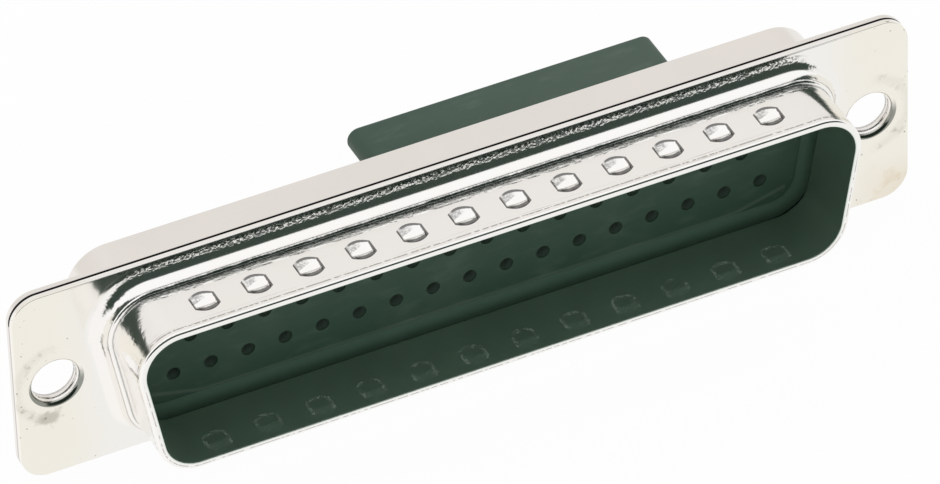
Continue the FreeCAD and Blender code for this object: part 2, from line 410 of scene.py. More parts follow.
def d_sides(outline):
    """Half height, and half the wide and narrow sides, of the D before its corners are rounded."""
    lean = math.tan(outline.slope)
    corner_height = outline.height / 2 - outline.corner
    corner_centre = outline.width / 2 - outline.corner
    middle = corner_centre + outline.corner / math.cos(outline.slope) - corner_height * lean
    top = outline.height / 2
    return top, middle + top * lean, middle - top * lean


def turning(start, end, steps):
    """Vectors that turn evenly from one vector to another of the same length."""
    turn = math.acos(np.clip(start @ end / (start @ start), -1, 1))
    parts = np.linspace(0, 1, steps + 1)[:, None]
    return (np.sin((1 - parts) * turn) * start + np.sin(parts * turn) * end) / math.sin(turn)


def rounded_path(corners, radius, runs, corner_steps):
    """Stations round a closed outline: points in X and Z, and outward normals.

    The corners go round anticlockwise as seen from -Y, and runs gives for each side, from its
    corner to the next, the shares of the straight run at which more stations stand.
    """
    corners = np.array(corners, float)
    following = np.roll(corners, -1, axis=0)
    ways = following - corners
    ways /= np.linalg.norm(ways, axis=1)[:, None]
    after = np.stack((ways[:, 1], -ways[:, 0]), axis=1)
    before = np.roll(after, 1, axis=0)
    half_turns = np.arccos(np.sum(before * after, axis=1)) / 2
    cuts = radius * np.tan(half_turns)[:, None]
    centres = corners - (before + after) * (radius / (2 * np.cos(half_turns) ** 2))[:, None]
    starts = corners + ways * cuts
    ends = following - ways * np.roll(cuts, -1, axis=0)
    points = []
    normals = []
    for index, run in enumerate(runs):
        arc = turning(before[index], after[index], corner_steps)
        points += [*(centres[index] + arc * radius)]
        points += [starts[index] + (ends[index] - starts[index]) * part for part in run]
        normals += [*arc]
        normals += [after[index]] * len(run)
    return np.array(points), np.array(normals)


def d_path(outline, corner, long_runs=(0.02, 0.5, 0.98), corner_steps=16):
    """Stations round the D. long_runs stands for the two long sides' stations."""
    top, wide, narrow = d_sides(outline)
    corners = [(-wide, top), (-narrow, -top), (narrow, -top), (wide, top)]
    side = (0.03, 0.5, 0.97)
    upper = bottom = long_runs
    if callable(long_runs):
        upper = long_runs(wide - corner * math.tan((math.pi / 2 + outline.slope) / 2))
        bottom = long_runs(narrow - corner * math.tan((math.pi / 2 - outline.slope) / 2))
    return rounded_path(corners, corner, (side, bottom, side, upper), corner_steps)


def box_corners(left, right, bottom, top):
    return [(left, top), (left, bottom), (right, bottom), (right, top)]


def circle_path(x, steps):
    """Stations on an axis along Y, half way up the flange, with normals all round it."""
    turns = 2 * np.pi * np.arange(steps) / steps
    normals = np.stack((np.cos(turns), np.sin(turns)), axis=1)
    return np.full_like(normals, (x, 0)), normals


def hole_paths(shells):
    return [circle_path(side * shells.hole_spacing / 2, HOLE_STEPS) for side in (-1, 1)]


def rounded_section(corners, radii, steps=6, support=0.02 * MM):
    """Section through (offset, place) corners, each rounded by its radius.

    Next to each arc stands one more point on either straight run, which keeps that run's
    shading straight.
    """
    corners = np.array(corners, float)
    section = [corners[0]]
    for before, corner, after, radius in zip(corners, corners[1:], corners[2:], radii):
        to_before = (before - corner) / np.linalg.norm(before - corner)
        to_after = (after - corner) / np.linalg.norm(after - corner)
        half_angle = math.acos(np.clip(to_before @ to_after, -1, 1)) / 2
        run = radius / math.tan(half_angle)
        bisector = (to_before + to_after) / np.linalg.norm(to_before + to_after)
        centre = corner + bisector * radius / math.sin(half_angle)
        start = corner + to_before * run
        end = corner + to_after * run
        section.append(start + to_before * support)
        section += [*(centre + turning(start - centre, end - centre, steps))]
        section.append(end + to_after * support)
    section.append(corners[-1])
    return np.array(section)


def outline_at(path, offset):
    points, normals = path
    return points + normals * offset


class Form:
    """A closed mesh put together from swept bands and flat plates."""

    def __init__(self):
        self.mesh = bmesh.new()
        self.offset = self.mesh.verts.layers.float.new("offset")

    def band(self, path, section):
        """Faces of a section carried round a closed path, each vertex with its offset."""
        rings = []
        for offset, place in section:
            ring = [self.mesh.verts.new((x, place, z)) for x, z in outline_at(path, offset)]
            for vert in ring:
                vert[self.offset] = offset
            rings.append(ring)
        for ring, following in zip(rings, rings[1:]):
            for index in range(len(ring)):
                corners = (ring[index - 1], ring[index], following[index], following[index - 1])
                self.mesh.faces.new(corners).smooth = True

    def plate(self, place, *loops):
        """Flat face between an outline and the outlines of its holes."""
        edges = []
        for loop in loops:
            verts = [self.mesh.verts.new((x, place, z)) for x, z in loop]
            for index in range(len(verts)):
                edges.append(self.mesh.edges.new((verts[index - 1], verts[index])))
        bmesh.ops.triangle_fill(self.mesh, use_beauty=True, edges=edges, normal=(0, -1, 0))

    def close(self, name, whole=True):
        """Joins the bands and plates and makes an object of them."""
        bmesh.ops.remove_doubles(self.mesh, verts=self.mesh.verts, dist=WELD)
        if whole:
            bmesh.ops.recalc_face_normals(self.mesh, faces=self.mesh.faces)
        data = bpy.data.meshes.new(name)
        self.mesh.to_mesh(data)
        self.mesh.free()
        return new_object(name, data)


def flange_plate(form, shells, front, tube_path, openings, holes, edges):
    """One flange between two faces: its edge and both faces, with gaps for the two holes.

    openings and holes give the offset or radius at the front face and at the back face, and
    edges the rounding of the outer edge there.
    """
    back = front + shells.sheet
    half_length = shells.flange_length / 2
    half_height = shells.flange_height / 2
    corners = box_corners(-half_length, half_length, -half_height, half_height)
    runs = ((0.02, 0.98),) * len(corners)
    outer = rounded_path(corners, shells.flange_corner, runs, 16)
    strip = 1.5 * max(edges)
    section = rounded_section([(-strip, front), (0, front), (0, back), (-strip, back)], edges)
    form.band(outer, section)
    outside = outline_at(outer, -strip)
    for place, opening, radius in zip((front, back), openings, holes):
        rims = [outline_at(hole, radius) for hole in hole_paths(shells)]
        form.plate(place, outside, outline_at(tube_path, opening), *rims)


def hole_walls(form, shells, section):
    for hole in hole_paths(shells):
        form.band(hole, section)


def dimple_stations(dimples):
    """Stations along a long side that meet the dimples' ends, as a function of its half length.

    around goes from just outside a dimple's end to its middle, in shares of its half width.
    """
    end = 1 - 2 * dimples.end_run / dimples.width
    around = (1.05, 1, (1 + end) / 2, end, end - 0.08, 0.62, 0.4, 0.2)
    places = []
    for index in range(dimples.count):
        centre = (index - (dimples.count - 1) / 2) * dimples.pitch
        half = dimples.width / 2
        places += [centre - half * part for part in around]
        places += [centre]
        places += [centre + half * part for part in reversed(around)]
        if index < dimples.count - 1:
            places += [centre + dimples.pitch / 2]
    return lambda half_run: [(place + half_run) / (2 * half_run) for place in places]


def dimple_rows(dimples):
    """Places along the tube of the mesh rows that meet both rows of dimples.

    across goes from just outside a dimple's front to just outside its back, from -1 to 1.
    """
    near = -1 + 2 * dimples.near_share
    far = 1 - 2 * dimples.far_share
    floor = np.linspace(near, far, 8)[1:-1]
    across = [-1.05, -1, (near - 1) / 2, near - 0.06, near + 0.04, *floor]
    across += [far - 0.03, far + 0.03, 1, 1.05]
    rows = []
    for place in (dimples.top_place, dimples.bottom_place):
        rows += [-place + part * dimples.span / 2 for part in across]
    return sorted(rows)


def with_rows(section, rows):
    """The section with a point at each row where it runs straight between two points."""
    points = [section[0]]
    for start, end in zip(section, section[1:]):
        reach = end[1] - start[1]
        if abs(reach) > MM and abs(end[0] - start[0]) < WELD:
            parts = sorted((row - start[1]) / reach for row in rows)
            points += [start + (end - start) * part for part in parts if 0.01 < part < 0.99]
        points.append(end)
    return np.array(points)


def front_shell_form(outline, shells, dimples):
    path = d_path(outline, outline.corner, dimple_stations(dimples))
    foot = shells.sheet + shells.foot_step
    bend_end = foot + shells.foot_bend + STRIP
    tip = -shells.tube_reach
    corners = [
        (bend_end, 0),
        (foot, 0),
        (foot, -shells.foot_reach),
        (shells.sheet, -shells.foot_reach),
        (shells.sheet, tip),
        (0, tip),
        (0, shells.sheet - shells.mouth_bevel),
        (shells.mouth_bevel, shells.sheet),
    ]
    radii = [
        shells.foot_bend,
        shells.foot_edge,
        shells.foot_root,
        shells.rim_round,
        shells.rim_edge,
        shells.sheet / 2,
    ]
    section = rounded_section(corners, radii, steps=10)
    form = Form()
    form.band(path, with_rows(section, dimple_rows(dimples)))
    hole = shells.hole_radius + shells.hole_ledge
    mouth = hole + shells.sheet
    openings = (bend_end, shells.mouth_bevel)
    edges = (shells.flange_edge, shells.burr_edge)
    flange_plate(form, shells, 0, path, openings, (mouth, hole), edges)
    wall = [(mouth, 0), (hole, 0), (hole, shells.sheet)]
    hole_walls(form, shells, rounded_section(wall, [shells.hole_round], steps=14))
    return form.close("front_shell_steel")


def rear_shell_form(outline, shells):
    path = d_path(outline, shells.cup_corner - shells.cup_offset)
    inside = shells.cup_offset - shells.sheet
    front = shells.sheet
    back = 2 * shells.sheet
    bend_end = shells.cup_offset + shells.cup_bend + STRIP
    mouth = inside + shells.cup_mouth
    corners = [
        (bend_end, back),
        (shells.cup_offset, back),
        (shells.cup_offset, shells.cup_edge),
        (inside, shells.cup_edge),
        (inside, front + shells.cup_mouth),
        (mouth, front),
    ]
    radii = [shells.cup_bend, shells.cup_rounding, shells.cup_rounding / 3, shells.sheet / 2]
    form = Form()
    form.band(path, rounded_section(corners, radii, steps=8))
    openings = (mouth, bend_end)
    edges = (shells.burr_edge, shells.flange_edge)
    hole = shells.hole_radius
    flange_plate(form, shells, front, path, openings, (hole, hole), edges)
    hole_walls(form, shells, [(hole, front), (hole, back)])
    return form.close("rear_shell_steel")


def collar_size(shells, insulator):
    """Offset and back of the collar, which just clears the bevels inside both shells."""
    gap = insulator.collar_gap * math.sqrt(2)
    front = insulator.face_setback + insulator.face_step
    offset = shells.mouth_bevel - (shells.sheet - front) - gap
    inside = shells.cup_offset - shells.sheet
    back = shells.sheet + (inside + shells.cup_mouth - offset) - gap
    return offset, back


def cavity_places(insulator):
    for row in ROWS:
        count = insulator.outer_count if row else insulator.outer_count - 1
        for index in range(count):
            x = (index - (count - 1) / 2) * insulator.contact_pitch
            yield x, row * insulator.row_spacing + insulator.row_rise


def insulator_form(outline, shells, insulator):
    """The moulding with round gaps where the cavities open."""
    path = d_path(outline, outline.corner, corner_steps=20)
    front = insulator.face_setback
    collar_front = front + insulator.face_step
    collar, collar_back = collar_size(shells, insulator)
    edge = insulator.face_edge
    back = insulator.body_back
    face_rim = -insulator.face_margin - 2 * edge
    back_rim = insulator.body_offset - 2 * insulator.body_edge
    corners = [
        (face_rim, front),
        (-insulator.face_margin, front),
        (-insulator.face_margin, collar_front),
        (collar, collar_front),
        (collar, collar_back),
        (insulator.body_offset, collar_back),
        (insulator.body_offset, back),
        (back_rim, back),
    ]
    radii = [edge, edge / 2, edge / 2, edge / 2, edge / 2, insulator.body_edge]
    form = Form()
    form.band(path, rounded_section(corners, radii, steps=5))
    fronts = []
    backs = []
    for x, z in cavity_places(insulator):
        for rims, radius in ((fronts, insulator.pin_bore), (backs, insulator.cavity_bore)):
            rim = outline_at(circle_path(x, BORE_STEPS), radius + insulator.bore_edge)
            rims.append(rim + (0, z))
    top = outline.height / 2 + insulator.body_offset - insulator.tongue_inset
    bottom = top - insulator.tongue_thickness
    left = insulator.tongue_centre - insulator.tongue_width / 2
    right = insulator.tongue_centre + insulator.tongue_width / 2
    corners = box_corners(left, right, bottom, top)
    long_run = (0.01, 0.5, 0.99)
    tongue = rounded_path(corners, insulator.tongue_round, ((), long_run) * 2, 12)
    end = insulator.tongue_end
    end_edge = insulator.tongue_edge
    end_rim = -2 * end_edge
    section = [(end_edge, back), (0, back), (0, end), (end_rim, end)]
    form.band(tongue, rounded_section(section, [end_edge / 2, end_edge]))
    form.plate(front, outline_at(path, face_rim), *fronts)
    form.plate(back, outline_at(path, back_rim), outline_at(tongue, end_edge), *backs)
    form.plate(end, outline_at(tongue, end_rim))
    return form.close("insulator_body", whole=False)


def bore_form(insulator):
    """One cavity about the origin: narrow bore, shoulder and wide bore."""
    front = insulator.face_setback
    shoulder = front + insulator.pin_length
    edge = insulator.bore_edge
    corners = [
        (insulator.pin_bore + edge, front),
        (insulator.pin_bore, front),
        (insulator.pin_bore, shoulder),
        (insulator.cavity_bore, shoulder),
        (insulator.cavity_bore, insulator.body_back),
        (insulator.cavity_bore + edge, insulator.body_back),
    ]
    form = Form()
    radii = [edge * 0.7, edge, edge, edge * 0.7]
    section = rounded_section(corners, radii, steps=2, support=edge / 4)
    form.band(circle_path(0, BORE_STEPS), section)
    return form.close("bore", whole=False)


def geometry_tree(name, inputs):
    """A geometry tree with named inputs, its input sockets, and the numbers among them as values."""
    tree = bpy.data.node_groups.new(name, "GeometryNodeTree")
    nodes = Nodes(tree)
    kinds = {"Geometry": "Geometry"} | inputs | {"Material": "Material"}
    for label, kind in kinds.items():
        tree.interface.new_socket(label, in_out="INPUT", socket_type="NodeSocket" + kind)
    tree.interface.new_socket("Geometry", in_out="OUTPUT", socket_type="NodeSocketGeometry")
    source = nodes.add("NodeGroupInput").outputs
    given = {label: Value(nodes, source[label]) for label, kind in inputs.items() if kind != "Object"}
    return nodes, source, given


def end_tree(nodes, source, whole, weld=None):
    """Makes what the tree built one real mesh, welded where asked, with the given material."""
    whole = nodes.chain(whole, "GeometryNodeRealizeInstances")
    if weld:
        whole = nodes.chain(whole, "GeometryNodeMergeByDistance", {"Distance": weld})
    whole = nodes.chain(whole, "GeometryNodeSetMaterial", {"Material": source["Material"]})
    nodes.add("NodeGroupOutput", {"Geometry": whole})


def settings_of(group, labels):
    """The group's values for a tree's inputs of the same names."""
    return {label: getattr(group, label.lower().replace(" ", "_")) for label in labels}


def apply_tree(piece, nodes, settings):
    """Runs the tree on the piece and keeps the result as its plain mesh."""
    modifier = piece.modifiers.new(nodes.tree.name, "NODES")
    modifier.node_group = nodes.tree
    for item in nodes.tree.interface.items_tree:
        if item.in_out == "INPUT" and item.name in settings:
            modifier[item.identifier] = settings[item.name]
    evaluated = piece.evaluated_get(bpy.context.evaluated_depsgraph_get())
    result = bpy.data.meshes.new_from_object(evaluated)
    piece.modifiers.remove(modifier)
    before = piece.data
    piece.data = result
    bpy.data.meshes.remove(before)
    result.name = piece.name


def press_dimples(piece, outline, shells, dimples, material):
    """Presses both rows of dimples into the tube, whose inside bulges less than its outside."""
    sizes = (
        "Pitch", "Width", "Span", "End span", "Depth", "End run", "Near share", "Far share",
        "Far depth", "Inside loss", "Top place", "Bottom place",
    )
    inputs = dict.fromkeys((*sizes, "Row", "Inside height"), "Float")
    nodes, source, given = geometry_tree("Dimples", inputs)
    x, y, z = nodes.split(nodes.add("GeometryNodeInputPosition").outputs["Position"])
    upper = z > 0
    place = upper * given["Top place"] + (1 - upper) * given["Bottom place"]
    cell = x / given["Pitch"]
    along = (cell - cell.floor() - 0.5) * given["Pitch"] / (given["Width"] / 2)
    across = (y + place) / (given["Span"] / 2)
    bulge = (1 - along * along).most(0)
    end_part = given["End span"] / given["Span"]
    narrowing = end_part + (1 - end_part) * bulge
    near = 2 * given["Near share"]
    far = 2 * given["Far share"]
    near_slope = (across + 1) / near
    floor = 1 - (across + 1 - near) * (1 - given["Far depth"]) / (2 - near - far)
    far_slope = (1 - across) * given["Far depth"] / far
    pressed = near_slope.least(floor).least(far_slope).most(0)
    ends = ((1 - abs(along)) * given["Width"] / 2 / given["End run"]).least(1).most(0)
    inner = abs(z) < given["Inside height"] + shells.sheet / 2
    drop = given["Depth"] * pressed * ends * (1 - inner * given["Inside loss"])
    on_wall = (abs(z) > given["Inside height"] - WELD) * (abs(x) < given["Row"])
    in_row = on_wall * (abs(across) < 1.1) * (y < -shells.foot_reach)
    dimpled = in_row * (abs(across) < 1.02) * (abs(along) < 1.02)
    pressed_y = -place + across * given["Span"] / 2 * narrowing
    moved = nodes.join(x, pressed_y, z - (upper * 2 - 1) * drop)
    inputs = {"Name": "dimple", "Value": nodes.join(along, across, dimpled)}
    settings = {"data_type": "FLOAT_VECTOR", "domain": "POINT"}
    whole = nodes.chain(source["Geometry"], "GeometryNodeStoreNamedAttribute", inputs, **settings)
    inputs = {"Selection": in_row, "Position": moved}
    whole = nodes.chain(whole, "GeometryNodeSetPosition", inputs)
    end_tree(nodes, source, whole)
    settings = settings_of(dimples, sizes)
    settings["Row"] = dimples.pitch * dimples.count / 2
    settings["Inside height"] = outline.height / 2
    settings["Material"] = material
    apply_tree(piece, nodes, settings)


def add_cavities(piece, insulator, material):
    """Puts a stepped bore into each round gap of the moulding and welds it there."""
    sizes = ("Contact pitch", "Row spacing", "Row rise", "Outer count")
    inputs = dict.fromkeys(sizes, "Float") | {"Outer count": "Int", "Bore": "Object"}
    nodes, source, given = geometry_tree("Contact cavities", inputs)
    pitch = given["Contact pitch"]
    outer = given["Outer count"]
    joined = nodes.add("GeometryNodeJoinGeometry")
    for row in ROWS:
        count = outer if row else outer - 1
        height = given["Row spacing"] * row + given["Row rise"]
        inputs = {
            "Count": count,
            "Start Location": nodes.join((count - 1) * pitch / -2, 0, height),
            "Offset": nodes.join(pitch, 0, 0),
        }
        line = nodes.add("GeometryNodeMeshLine", inputs)
        nodes.tree.links.new(line.outputs["Mesh"], joined.inputs["Geometry"])
    bore = nodes.add("GeometryNodeObjectInfo", {"Object": source["Bore"]})
    inputs = {"Points": joined.outputs["Geometry"], "Instance": bore.outputs["Geometry"]}
    bores = nodes.add("GeometryNodeInstanceOnPoints", inputs)
    everything = nodes.add("GeometryNodeJoinGeometry")
    for socket in (source["Geometry"], bores.outputs["Instances"]):
        nodes.tree.links.new(socket, everything.inputs["Geometry"])
    end_tree(nodes, source, everything.outputs["Geometry"], WELD)
    tool = bore_form(insulator)
    settings = settings_of(insulator, sizes) | {"Bore": tool, "Material": material}
    apply_tree(piece, nodes, settings)
    bpy.data.objects.remove(tool)
    face_outwards(piece)


def face_outwards(piece):
    mesh = bmesh.new()
    mesh.from_mesh(piece.data)
    bmesh.ops.recalc_face_normals(mesh, faces=mesh.faces)
    mesh.to_mesh(piece.data)
    mesh.free()


def new_material(name):
    """A material, its nodes and its Principled shader."""
    material = bpy.data.materials.new(name)
    nodes = new_nodes(material)
    shader = nodes.add("ShaderNodeBsdfPrincipled")
    nodes.add("ShaderNodeOutputMaterial", {"Surface": shader.outputs["BSDF"]})
    return material, nodes, shader


def connect(nodes, shader, **inputs):
    """Links what varies over the surface to the shader, with _ for a space in a name."""
    for name, given in inputs.items():
        socket = given.socket if isinstance(given, Value) else given
        nodes.tree.links.new(socket, shader.inputs[name.replace("_", " ")])


class Plating:
    """Where a point of the plating lies, and the noises that break up the marks on it."""

    def __init__(self, nodes, shells, marks):
        place = nodes.add("ShaderNodeTexCoord").outputs["Object"]
        self.x, self.y, self.z = nodes.split(place)
        self.offset = nodes.value("ShaderNodeAttribute", "Fac", attribute_name="offset")
        self.from_tip = self.y + shells.tube_reach
        self.from_step = self.y + shells.foot_reach
        self.tube = self.y.between(-0.02 * MM, -0.06 * MM)
        self.inside = self.tube * self.offset.between(0.1 * MM, 0.03 * MM)
        self.flange = self.y.between(-0.02 * MM, -0.005 * MM) * self.y.between(0.3 * MM, 0.2 * MM)
        self.above = self.z > marks.upper_start
        self.end = abs(self.x) - marks.end_start
        self.long_side = self.above * self.end.between(2 * MM, 0)
        self.broad = nodes.noise(place, 150, 3, 0.55)
        self.patches = nodes.noise(place, 700, 3, 0.6)
        self.worn = self.patches.between(0.48, 0.66)
        self.fine = nodes.noise(place, 3000, 2)
        self.crazed = nodes.noise(place, 4200, 2)
        self.mottled = nodes.noise(place, 5500, 3, 0.7)


def flange_marks(nodes, tone, on, finish, shells, marks):
    """Scuffs round the holes, a blot by the left one, a stain by the right one, specks, and painted
    shade on the holes' low sides.
    """
    hole_x = abs(on.x) - shells.hole_spacing / 2
    from_hole = (hole_x * hole_x + on.z * on.z) ** 0.5
    ring = from_hole.near(marks.ring_radius, marks.ring_reach, 0.05 * MM)
    ring = ring * hole_x.between(-0.4 * MM, 1.2 * MM)
    tone = nodes.mix(ring * (0.15 + on.worn * 0.7) * on.flange * 0.9, tone, finish.scuff)
    from_blot = nodes.join((on.x + marks.blot_left) * 0.7, 0, on.z + marks.blot_drop)
    from_blot = nodes.value("ShaderNodeVectorMath", "Value", {0: from_blot}, operation="LENGTH")
    blot = (from_blot + (on.patches - 0.5) * marks.blot_fray).between(marks.blot_radius, 0.3 * MM)
    tone = nodes.mix(blot * on.flange * 0.6, tone, finish.scuff)
    stain = on.x.between(marks.stain_start, marks.stain_start + 5 * MM)
    stain = stain * on.z.between(-marks.stain_drop, -marks.stain_drop - 4 * MM)
    tone = nodes.mix(stain * (0.3 + on.worn * 0.35) * on.flange, tone, finish.stain)
    from_edge = (shells.flange_length / 2 - abs(on.x)).least(shells.flange_height / 2 - abs(on.z))
    at_edge = from_edge.between(1.4 * MM, 0.3 * MM) * (abs(on.x) > 28 * MM)
    specks = (on.fine + at_edge * on.worn * 0.1 + ring * 0.05).between(0.7, 0.78)
    tone = nodes.mix(specks * on.flange * 0.7, tone, finish.grime_and_shade)
    # Painted shade: the low side of each hole's wall is painted dark.
    mouth = from_hole.between(1.7 * MM, 1.76 * MM) * from_hole.between(2.08 * MM, 2 * MM)
    mouth = mouth * on.y.between(0.005 * MM, 0.02 * MM) * on.z.between(1 * MM, -0.5 * MM)
    return nodes.mix(mouth * 0.75, tone, finish.bend)


def rim_marks(nodes, tone, on, finish, marks):
    """Lines and dots from drawing behind the rim, a painted highlight on its edge and a painted dark
    line on its low side.
    """
    lines = nodes.noise(nodes.join(on.x * 0.06, on.y * 3, on.z * 0.06), 3500, 3, 0.7)
    lined = on.from_tip.between(1.05 * MM, 0.75 * MM) * on.from_tip.between(0.28 * MM, 0.36 * MM)
    dots = on.from_tip.near(marks.dots_place, 0.09 * MM, 0.03 * MM) * on.fine.between(0.38, 0.5)
    drawn = (lined * lines.between(0.52, 0.66) * 0.35).most(dots * 0.6) * (1 - on.inside)
    tone = nodes.mix(drawn, tone, finish.grime_and_shade)
    # Painted highlight: the rim's edge is painted whiter.
    rim = on.from_tip.between(0.16 * MM, 0.1 * MM)
    tone = nodes.mix(rim * 0.35, tone, (1, 1, 1))
    # Painted shade: a broken dark line on the rim's outer rounding, on its low side.
    rim_edge_shade = on.offset.near(marks.nick_offset, 0.05 * MM, 0.02 * MM) * on.z.between(3 * MM, 1 * MM)
    tone = nodes.mix(rim_edge_shade * rim * on.fine.between(0.4, 0.5) * 0.5, tone, finish.grime_and_shade)
    height = (lines - 0.5) * lined * 0.006
    return tone, height


def bend_marks(nodes, tone, on, finish, shells):
    """The dark seam between the flanges, crazed plating on the bend, and a painted dark reflection
    along the foot's ragged step.
    """
    seam = on.y.near(shells.sheet, 0.12 * MM, 0.09 * MM) * (on.offset < 0.01 * MM)
    tone = nodes.mix(seam * (0.3 + on.above * 0.7), tone, finish.seam)
    bend = on.y.between(-0.13 * MM, -0.08 * MM) * on.y.between(-0.0005 * MM, -0.003 * MM)
    tone = nodes.mix(bend * on.long_side * on.crazed.between(0.47, 0.53) * 0.85, tone, finish.bend)
    # Painted reflection: a ragged dark band along the foot's step edge.
    step = on.from_step + (on.mottled + on.patches - 1) * 0.3 * MM
    step = step.between(0.2 * MM, 0.12 * MM) * step.between(-0.36 * MM, -0.28 * MM)
    tone = nodes.mix(step * on.long_side * 0.6, tone, finish.bend)
    stretched = on.y.between(-0.2 * MM, -0.1 * MM) * on.y.between(-0.004 * MM, -0.012 * MM)
    wavy = on.from_step.between(0.2 * MM, 0.05 * MM) * on.from_step.between(-0.6 * MM, -0.4 * MM)
    waves = (on.patches - 0.5) * 0.12 + (on.mottled - 0.5) * 0.02
    height = ((on.crazed - 0.5) * stretched * 0.06 + waves * wavy) * on.long_side
    return tone, height


def dimple_marks(nodes, tone, on, finish, shells, marks):
    """Painted shade on a dimple's outline, front slope and far side, dust on it inside the tube, and a
    painted glint.

    The dimple attribute runs from -1 to 1 along the wall and from front to back.
    """
    dimple = nodes.add("ShaderNodeAttribute", attribute_name="dimple").outputs["Vector"]
    along, across, dimpled = nodes.split(dimple)
    fray = (on.mottled - 0.5) * 0.12
    along = along + fray
    across = across + fray
    ends = abs(along).between(0.84, 0.9)
    outline = (across.between(0.78, 0.88) * along.between(-0.9, -0.5)).most(ends)
    front_slope = across.between(-0.45, -0.55)
    # Painted shade: a mottled dark slash across the dimple's far side.
    far_slope_shade = (across - along * 0.35).between(0.3, 0.45) * along.between(0.4, -0.1)
    far_slope_shade = far_slope_shade * (on.mottled.between(0.35, 0.6) * 0.5 + 0.1)
    pressed = dimpled.between(0.2, 0.5)
    shadow = pressed * outline.most(front_slope).most(far_slope_shade) * (1 - on.inside)
    tone = nodes.mix(shadow * 0.8, tone, finish.seam)
    rubbed = abs(along).between(0.7, 0.85).most(across.between(0.6, 0.8))
    dust_and_painted_light = dimpled * rubbed * on.mottled.between(0.48, 0.58) * on.patches.between(0.35, 0.5)
    # Painted highlight: a dashed glint where the mouth bevel starts inside the right end, in the dust
    # colour without metal.
    glint = on.y.near(shells.sheet - shells.mouth_bevel, 0.06 * MM, 0.02 * MM)
    glint = glint * (on.x > marks.end_start) * (abs(on.z) < 1 * MM) * on.fine.between(0.35, 0.5) * 2
    dust_and_painted_light = dust_and_painted_light.most(glint) * on.inside
    height = ((on.patches - 0.5) * 0.03 + (on.mottled - 0.5) * pressed * 0.03) * on.inside
    return nodes.mix(dust_and_painted_light, tone, finish.dust_and_painted_light), dust_and_painted_light, height


def tinned_steel(name, tin, finish, shells, marks):
    """Bright tin plating: dull inside the tube and tinted there as a painted reflection of the
    moulding, uneven where the sheet was stretched, marked by use, with painted shade and highlights.
    """
    material, nodes, shader = new_material(name)
    on = Plating(nodes, shells, marks)
    tarnish = on.flange * abs(on.x).between(marks.tarnish_start, marks.tarnish_start + 4 * MM)
    tarnish = 0.1 + on.broad.between(0.42, 0.62) * 0.15 + tarnish * 0.75
    tone = nodes.mix(tarnish, tin, finish.tarnish)
    # Painted reflection: the plating inside the tube is darker and tinted green like the moulding it
    # faces.
    tone = nodes.mix(on.inside, tone, finish.inside)
    tone = flange_marks(nodes, tone, on, finish, shells, marks)
    tone, lines = rim_marks(nodes, tone, on, finish, marks)
    tone, creases = bend_marks(nodes, tone, on, finish, shells)
    tone, dust_and_painted_light, bumps = dimple_marks(nodes, tone, on, finish, shells, marks)
    corners = on.end.between(0.5 * MM, 2 * MM) * on.z.between(1 * MM, 3 * MM)
    corners = corners * on.tube * (1 - on.inside) * on.from_tip.between(1 * MM, 1.6 * MM)
    dents = ((on.patches - 0.5) * 0.08 + (on.mottled - 0.5) * 0.006) * corners
    height = (on.fine - 0.5) * 0.002 + lines + creases + bumps + dents
    bump = nodes.add("ShaderNodeBump", {"Strength": 1, "Distance": 1 * MM, "Height": height})
    roughness = 0.1 + on.broad * 0.06 + on.inside * 0.26
    normal = bump.outputs["Normal"]
    connect(nodes, shader, Base_Color=tone, Roughness=roughness, Metallic=1 - dust_and_painted_light, Normal=normal)
    return material


